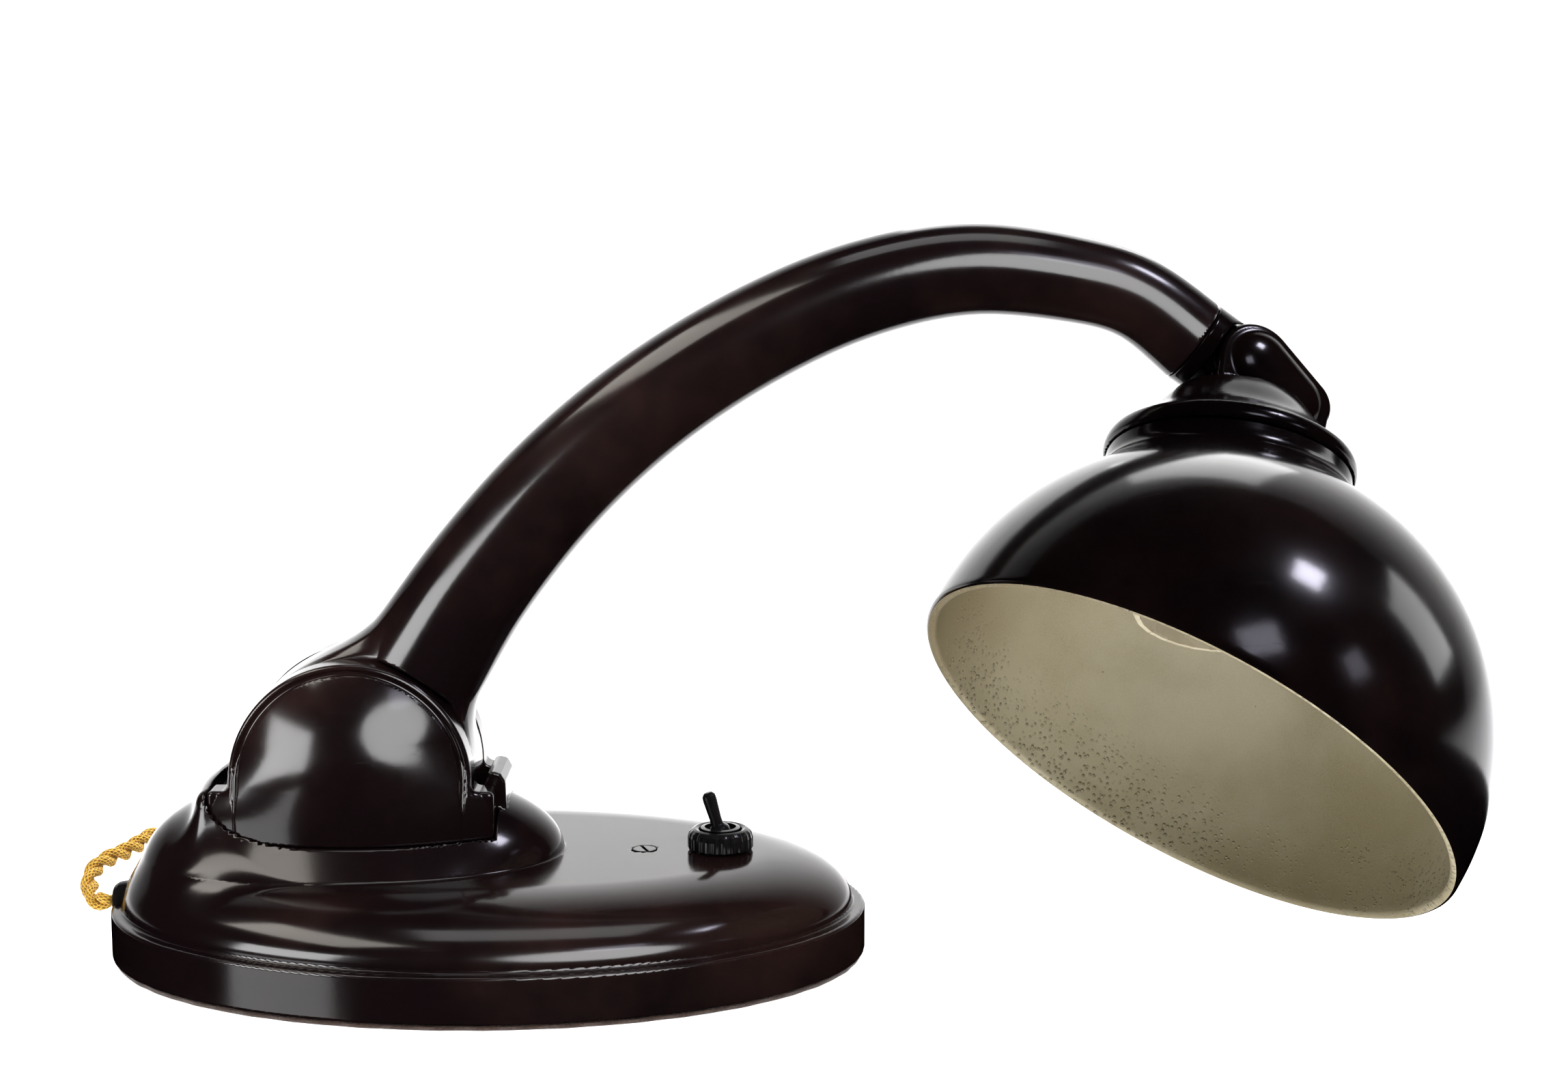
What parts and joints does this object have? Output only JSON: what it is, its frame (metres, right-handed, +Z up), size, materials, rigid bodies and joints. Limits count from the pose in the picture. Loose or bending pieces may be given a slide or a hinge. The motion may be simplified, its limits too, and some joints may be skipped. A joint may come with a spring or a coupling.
{
  "type": "desk lamp",
  "caption": "Adjustable moulded plastic desk lamp with an oval base, a drum hinge, a curved arm and a tilting, turning domed shade.",
  "frame": {"origin": "middle of the felt's underside, on the surface the lamp stands on", "axes": "+X from the drum hinge towards the switch and the shade, +Z up"},
  "size_m": [0.4001, 0.2814, 0.2136],
  "materials": {
    "dark_bakelite": "polished",
    "black_bakelite": "polished",
    "zinced_steel": "dull zinc",
    "cast_iron": "as cast",
    "brass": "satin",
    "brown_felt": "felt",
    "lampholder_porcelain": "glazed",
    "rubber_lead": "matte",
    "gold_braid": "woven"
  },
  "bodies": {
    "base": {"base_shell": "dark_bakelite", "base_plate": "zinced_steel", "felt_pad": "brown_felt", "ballast_weight": "cast_iron", "top_screw": "dark_bakelite", "plate_screw_1": "zinced_steel", "plate_screw_2": "zinced_steel", "plate_screw_3": "zinced_steel", "plate_screw_4": "zinced_steel", "hinge_cheek_near": "dark_bakelite", "hinge_cheek_far": "dark_bakelite", "cheek_screw_near_1": "zinced_steel", "cheek_screw_near_2": "zinced_steel", "cheek_screw_far_1": "zinced_steel", "cheek_screw_far_2": "zinced_steel", "pivot_bolt": "zinced_steel", "pivot_nut": "zinced_steel", "friction_washer_near": "zinced_steel", "friction_washer_far": "zinced_steel", "switch_body": "brass", "switch_collar": "black_bakelite", "cord_bushing": "black_bakelite", "cord_clamp": "zinced_steel", "terminal_block": "lampholder_porcelain", "switch_leads": "rubber_lead", "flex_run": "gold_braid", "flex_coil": "gold_braid", "plug_body": "black_bakelite", "plug_pin_1": "brass", "plug_pin_2": "brass"},
    "lever": {"switch_lever": "black_bakelite"},
    "arm": {"arm": "dark_bakelite", "arm_leads": "rubber_lead"},
    "knuckle": {"swivel_knuckle": "dark_bakelite"},
    "head": {"head_cap": "dark_bakelite", "head_bolt": "zinced_steel", "head_nut": "zinced_steel", "head_washer_near": "zinced_steel", "head_washer_far": "zinced_steel", "holder_nipple": "brass", "lampholder": "lampholder_porcelain", "holder_contact": "brass", "holder_skirt": "lampholder_porcelain"},
    "shade": {"shade": "dark_bakelite"}
  },
  "joints": [
    {"name": "arm_tilt", "type": "hinge", "parent": "base", "child": "arm", "pos_m": [-0.0372, 0, 0.0551], "axis": [0, -1, 0], "range_deg": [-4, 60]},
    {"name": "head_swivel", "type": "hinge", "parent": "arm", "child": "knuckle", "pos_m": [0.216, 0, 0.17], "axis": [0.809, 0, -0.5878], "range_deg": [-50, 115]},
    {"name": "head_tilt", "type": "hinge", "parent": "knuckle", "child": "head", "pos_m": [0.216, 0, 0.17], "axis": [0.3261, -0.832, 0.4489], "range_deg": [0, 50]},
    {"name": "shade_turn", "type": "hinge", "parent": "head", "child": "shade", "pos_m": [0.21082, -0.01582, 0.14444], "axis": [0.1699, 0.5187, 0.8379], "continuous": true},
    {"name": "switch_toggle", "type": "hinge", "parent": "base", "child": "lever", "pos_m": [0.0677, 0, 0.0352], "axis": [0, 1, 0], "range_deg": [0, 32]}
  ]
}
